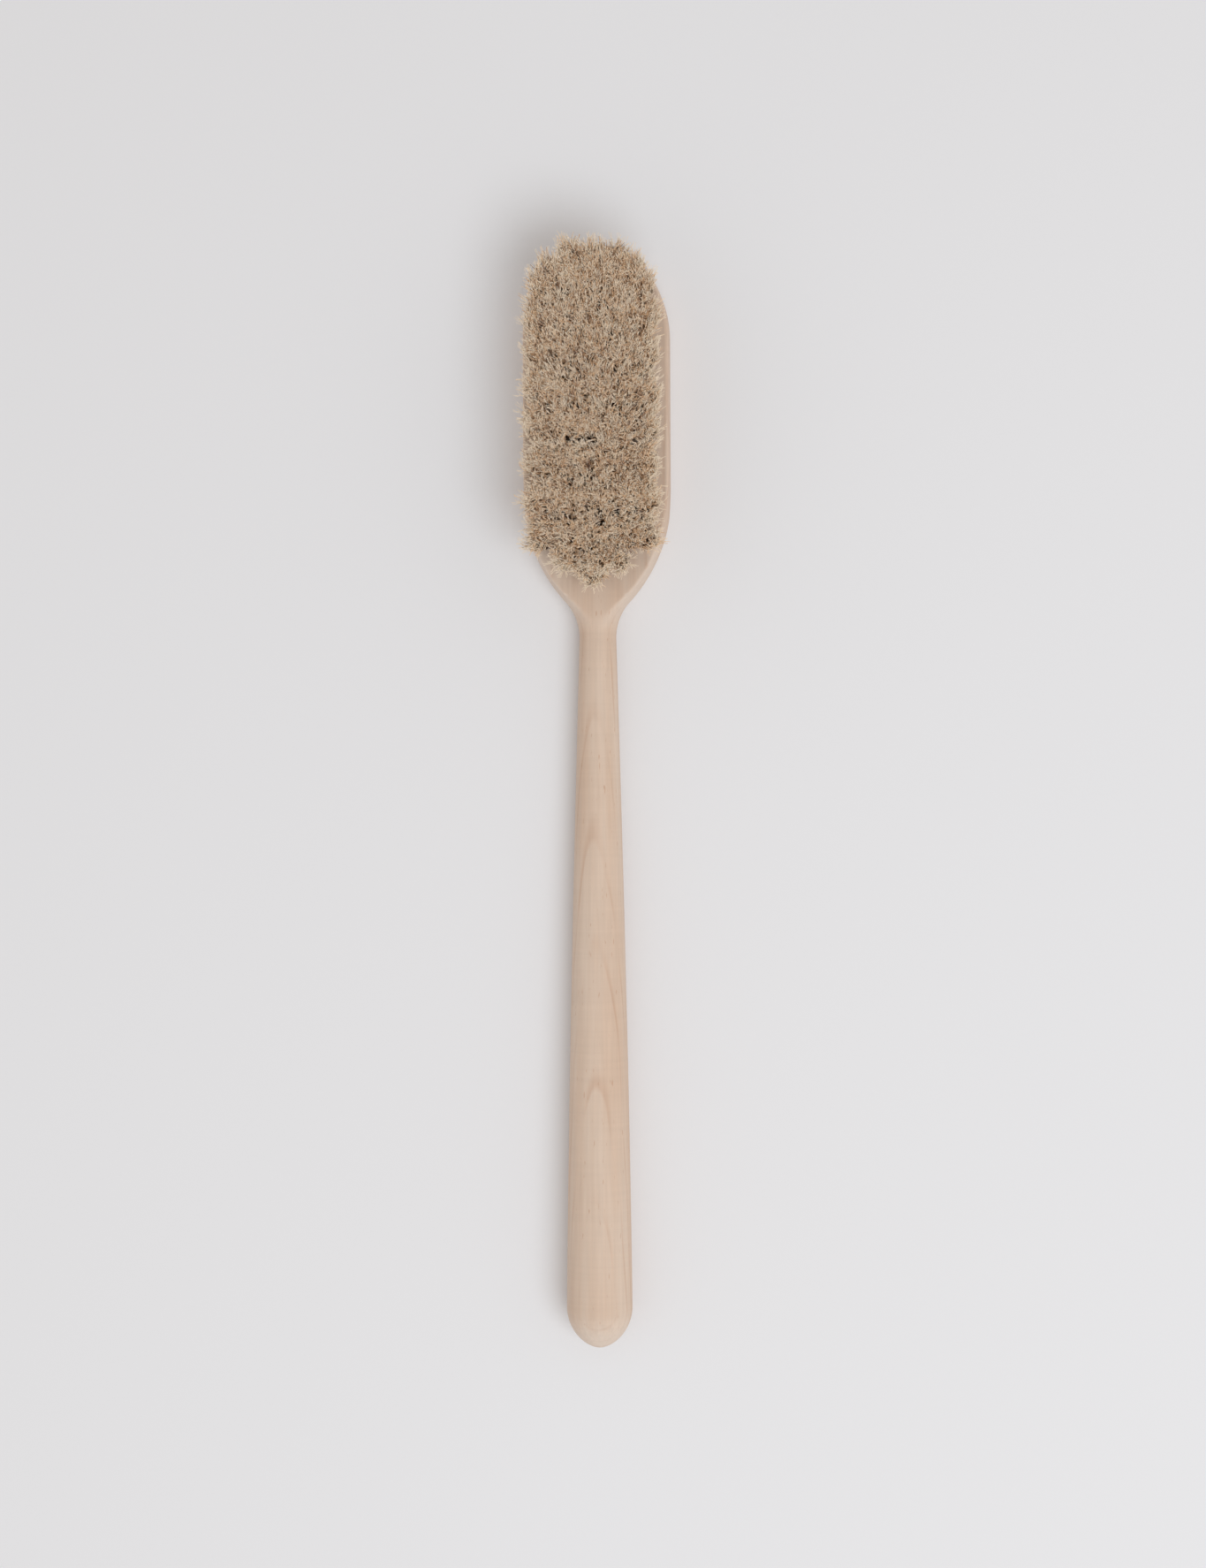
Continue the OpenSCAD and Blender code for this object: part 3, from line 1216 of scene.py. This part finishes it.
@dataclass
class BristleField:
    """Staggered rows of drawn horsehair tufts, one piece for each row.

    Every other row leans the other way along the head, and is a little lower and painted darker as shade, or
    higher and painted paler as light.
    """

    face_z: float
    tip_z: float
    far_end: float
    last_row_inset: float = 5.9 * MM
    row_counts: tuple[int, ...] = (1, 4, 7, 6, 7, 6, 7, 6, 7, 6, 7, 6, 7, 6, 7, 6, 7, 6, 3)
    row_pitch: float = 6.64 * MM
    tuft_pitch: float = 6.33 * MM
    outer_reach: float = 21.5 * MM
    six_row_inset: float = 1.2 * MM
    shoulder_rows: int = 2
    shoulder_fan: float = 1.1
    end_fan: float = 1.45
    end_pull: float = 3.0 * MM
    end_taper: float = 0.30
    tapered_rows: int = 3
    fan_y: float = 0.02
    pair_lean: float = 0.8 * MM
    pair_height: float = 0.25 * MM
    # Painted light and shade: the higher row of a pair is paler, the lower one darker.
    pair_light_and_shade: float = 0.035
    comb: float = 1.6 * MM
    hairs: int = 270
    lock: int = 2
    lock_spread: float = 0.2 * MM
    bundle_radius: float = 1.9 * MM
    tip_radius: float = 4.9 * MM
    hidden_length: float = 1.5 * MM
    hair_diameter: float = 0.3 * MM
    bend: float = 3.0 * MM
    wave: float = 0.35 * MM
    trim_scatter: float = 1.8 * MM
    rings_on_hair: int = 7
    lean_scatter: float = 0.45 * MM
    height_scatter: float = 0.3 * MM
    upward_share: float = 0.62
    tone_scatter: float = 0.05
    # Border hairs paler, partly as hair colour and partly as painted light.
    border_tone_and_light: float = 0.5
    seed: int = 7

    @property
    def last_row_y(self) -> float:
        """Where the last row is along the head."""
        return self.far_end - self.last_row_inset

    def row_y(self, row: int) -> float:
        """Where a row is along the head."""
        return self.last_row_y - self.row_pitch * (len(self.row_counts) - 1 - row)

    def tufts(self, row: int) -> list[Tuft]:
        """Works out how each tuft of a row stands.

        Args:
            row: The row's index from the shoulder.

        Returns:
            The tufts from left to right.
        """
        rows, count = len(self.row_counts), self.row_counts[row]
        chance = np.random.default_rng(self.seed * 1000 + row)
        y = self.row_y(row)
        middle = self.last_row_y - self.row_pitch * (rows - 1) / 2
        side = -1 if row % 2 else 1
        spacing = self.tip_spacing(row)
        tufts = []
        for i in range(count):
            across = i - (count - 1) / 2
            x = self.tuft_pitch * across
            shift_x, shift_y = chance.normal(0, self.lean_scatter, 2)
            lean_y = self.fan_y * (y - middle) + side * self.pair_lean
            if row == rows - 1:
                lean_y -= self.end_pull
            tone = chance.normal(0, self.tone_scatter)
            height = chance.normal(0, self.height_scatter)
            # A tuft's tone is random, plus painted light or shade by row pair.
            tufts.append(
                Tuft(
                    root=(x, y, self.face_z),
                    lean=(spacing * across - x + shift_x, lean_y + shift_y, 0.0),
                    tone=tone - side * self.pair_light_and_shade,
                    height=height - side * self.pair_height,
                    along=row / (rows - 1),
                    outward=self.outward(row, i),
                )
            )
        return tufts

    def outward(self, row: int, place: int) -> Triple:
        """Which way is out of the field for a tuft.

        Args:
            row: The row's index from the shoulder.
            place: The tuft's index in its row, from the left.

        Returns:
            A direction of up to about one unit, or zero away from the border.
        """
        sideways = (place == self.row_counts[row] - 1) - (place == 0)
        lengthways = (row == len(self.row_counts) - 1) - (row < self.shoulder_rows)
        return float(sideways), float(lengthways), 0.0

    def tip_spacing(self, row: int) -> float:
        """How far apart the tips of neighbouring tufts in a row stand.

        Long rows fan out to one width, a little less over the oval end. Short end rows fan out evenly.

        Args:
            row: The row's index from the shoulder.

        Returns:
            The spacing in metres.
        """
        rows, count, full = len(self.row_counts), self.row_counts[row], max(self.row_counts)
        if count < full - 1:
            return self.tuft_pitch * (self.end_fan if row > rows / 2 else self.shoulder_fan)
        reach = self.outer_reach - self.six_row_inset * (full - count)
        reach *= 1 - self.end_taper * max(0.0, 1 - (rows - 1 - row) / self.tapered_rows)
        return 2 * reach / (count - 1)

    def tree_inputs(self, row: int = 0) -> dict[str, float]:
        """Values for the hair tree's inputs.

        Args:
            row: The row's index from the shoulder, which sets the seed.

        Returns:
            Each input's name and value.
        """
        return {
            "Hairs": self.hairs,
            "Lock": self.lock,
            "Lock spread": self.lock_spread,
            "Bundle radius": self.bundle_radius,
            "Tip radius": self.tip_radius,
            "Hidden length": self.hidden_length,
            "Height": self.tip_z - self.face_z,
            "Hair diameter": self.hair_diameter,
            "Bend": self.bend,
            "Comb": self.comb,
            "Wave": self.wave,
            "Trim scatter": self.trim_scatter,
            "Border tone and light": self.border_tone_and_light,
            "Rings": self.rings_on_hair,
            "Seed": self.seed + row,
        }

    def plant(self, name: str, tufts: Sequence[Tuft]) -> bpy.types.Object:
        """Makes the points that a row's hairs grow from.

        Args:
            name: The row's piece name.
            tufts: The row's tufts.

        Returns:
            A mesh of loose points that carry each tuft's values.
        """
        roots = mesh_object(name + "_roots", np.array([tuft.root for tuft in tufts]), [])
        for key in ("lean", "outward"):
            vectors = roots.data.attributes.new(key, "FLOAT_VECTOR", "POINT")
            vectors.data.foreach_set("vector", [value for tuft in tufts for value in getattr(tuft, key)])
        for key in ("tone", "height", "along"):
            numbers = roots.data.attributes.new(key, "FLOAT", "POINT")
            numbers.data.foreach_set("value", [getattr(tuft, key) for tuft in tufts])
        return roots

    def build_row(self, row: int, tree: bpy.types.GeometryNodeTree) -> bpy.types.Object:
        """Grows the hairs of one row and turns them into a plain mesh.

        Args:
            row: The row's index from the shoulder.
            tree: The hair node group.

        Returns:
            The row's hairs as one mesh object.
        """
        name = f"horsehair_row_{row + 1:02d}"
        roots = self.plant(name, self.tufts(row))
        values = self.tree_inputs(row)
        modifier = roots.modifiers.new("hairs", "NODES")
        modifier.node_group = tree
        for item in tree.interface.items_tree:
            if item.in_out == "INPUT" and item.name in values:
                modifier[item.identifier] = values[item.name]
        graph = bpy.context.evaluated_depsgraph_get()
        mesh = bpy.data.meshes.new_from_object(roots.evaluated_get(graph), depsgraph=graph)
        mesh.name = name
        for spare in HAIR_WORKINGS:
            if spare in mesh.attributes:
                mesh.attributes.remove(mesh.attributes[spare])
        roots.modifiers.remove(modifier)
        bpy.data.objects.remove(roots)
        self.lift_normals(mesh)
        piece = bpy.data.objects.new(name, mesh)
        bpy.context.scene.collection.objects.link(piece)
        return piece

    def lift_normals(self, mesh: bpy.types.Mesh) -> None:
        """Turns the shading normals part of the way up, so that fine hair takes light as a soft mass does.

        Args:
            mesh: The row's hairs.
        """
        normals = np.zeros(len(mesh.vertices) * 3)
        mesh.vertices.foreach_get("normal", normals)
        upright = np.array([0.0, 0.0, self.upward_share])
        lifted = normals.reshape(-1, 3) * (1 - self.upward_share) + upright
        lifted /= np.linalg.norm(lifted, axis=1)[:, None]
        mesh.normals_split_custom_set_from_vertices(lifted.tolist())

    def build(self, material: bpy.types.Material) -> None:
        """Grows every row, attaches each to the brush and hides the frame's tuft row that it replaces.

        Args:
            material: The hairs' material.
        """
        tree = HairTree(material, self.tree_inputs()).build()
        for row in range(len(self.row_counts)):
            settle(self.build_row(row, tree), "horsehair", material, f"tuft_row_{row + 1:02d}")
        bpy.data.node_groups.remove(tree)


# Studio


@dataclass
class Studio:
    """Camera, floor and light around the brush."""

    target: Triple = (2.3 * MM, 4.7 * MM, 16 * MM)
    distance: float = 1.15
    side_lean: float = 4.3
    roll: float = -0.24
    frame_height: float = 0.589
    sensor: float = 36.0
    nearest: float = 0.01
    farthest: float = 20.0
    floor_reach: float = 8.0
    key_azimuth: float = -45.0
    key_elevation: float = 60.0
    key_distance: float = 2.4
    key_size: float = 1.6
    key_power: float = 23.5
    key_colour: Colour = (0.91, 0.96, 1.0)
    fill_strength: float = 0.58
    fill_colour: Colour = (1.0, 0.945, 0.905)

    def place_camera(self) -> None:
        """Puts the camera above the brush, leaning a little to its right side."""
        data = bpy.data.cameras.new("camera")
        data.sensor_width = self.sensor
        data.lens = self.sensor * self.distance / self.frame_height
        data.clip_start = self.nearest
        data.clip_end = self.farthest
        camera = bpy.data.objects.new("camera", data)
        bpy.context.scene.collection.objects.link(camera)
        lean = Matrix.Rotation(math.radians(self.side_lean), 4, "Y")
        roll = Matrix.Rotation(math.radians(self.roll), 4, "Z")
        back = Matrix.Translation((0.0, 0.0, self.distance))
        camera.matrix_world = Matrix.Translation(self.target) @ lean @ back @ roll
        bpy.context.scene.camera = camera

    def lay_floor(self) -> None:
        """Lays the floor, which isn't part of the object."""
        corners = [(-1, -1, 0), (1, -1, 0), (1, 1, 0), (-1, 1, 0)]
        floor = mesh_object("floor", np.array(corners, float) * self.floor_reach, [(0, 1, 2, 3)])
        floor.data.materials.append(FloorFinish().material())

    def light(self) -> None:
        """Sets a large soft key light and an even fill."""
        turn, rise = math.radians(self.key_azimuth), math.radians(self.key_elevation)
        way = Vector((math.cos(turn) * math.cos(rise), math.sin(turn) * math.cos(rise), math.sin(rise)))
        data = bpy.data.lights.new("key", "AREA")
        data.shape = "DISK"
        data.size = self.key_size
        data.energy = self.key_power
        data.color = self.key_colour
        key = bpy.data.objects.new("key", data)
        key.location = way * self.key_distance
        key.rotation_euler = way.to_track_quat("Z", "Y").to_euler()
        bpy.context.scene.collection.objects.link(key)
        world = bpy.data.worlds.new("studio")
        world.use_nodes = True
        background = world.node_tree.nodes["Background"]
        background.inputs["Color"].default_value = (*self.fill_colour, 1.0)
        background.inputs["Strength"].default_value = self.fill_strength
        bpy.context.scene.world = world
        bpy.context.scene.view_settings.view_transform = "Standard"


def main() -> None:
    """Builds the scene in order and reports each piece."""
    logging.basicConfig(level=logging.INFO, format="%(message)s")
    studio = Studio()
    studio.place_camera()
    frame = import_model()
    studio.lay_floor()
    studio.light()
    body_low, body_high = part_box("brush_body")
    cover_low, cover_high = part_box("back_cover")
    form = WoodForm(
        far_end=body_high[1],
        head_width=body_high[0] - body_low[0],
        cover_thickness=cover_high[2],
        cover_start=cover_low[1],
    )
    WoodenBrush(form).build()
    tip_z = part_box("tuft_row_10")[1][2]
    bristles = BristleField(face_z=form.head_thickness, tip_z=tip_z, far_end=form.far_end)
    bristles.build(HorsehairFinish().material())
    DrawingWire().dress(frame)


if __name__ == "__main__":
    main()
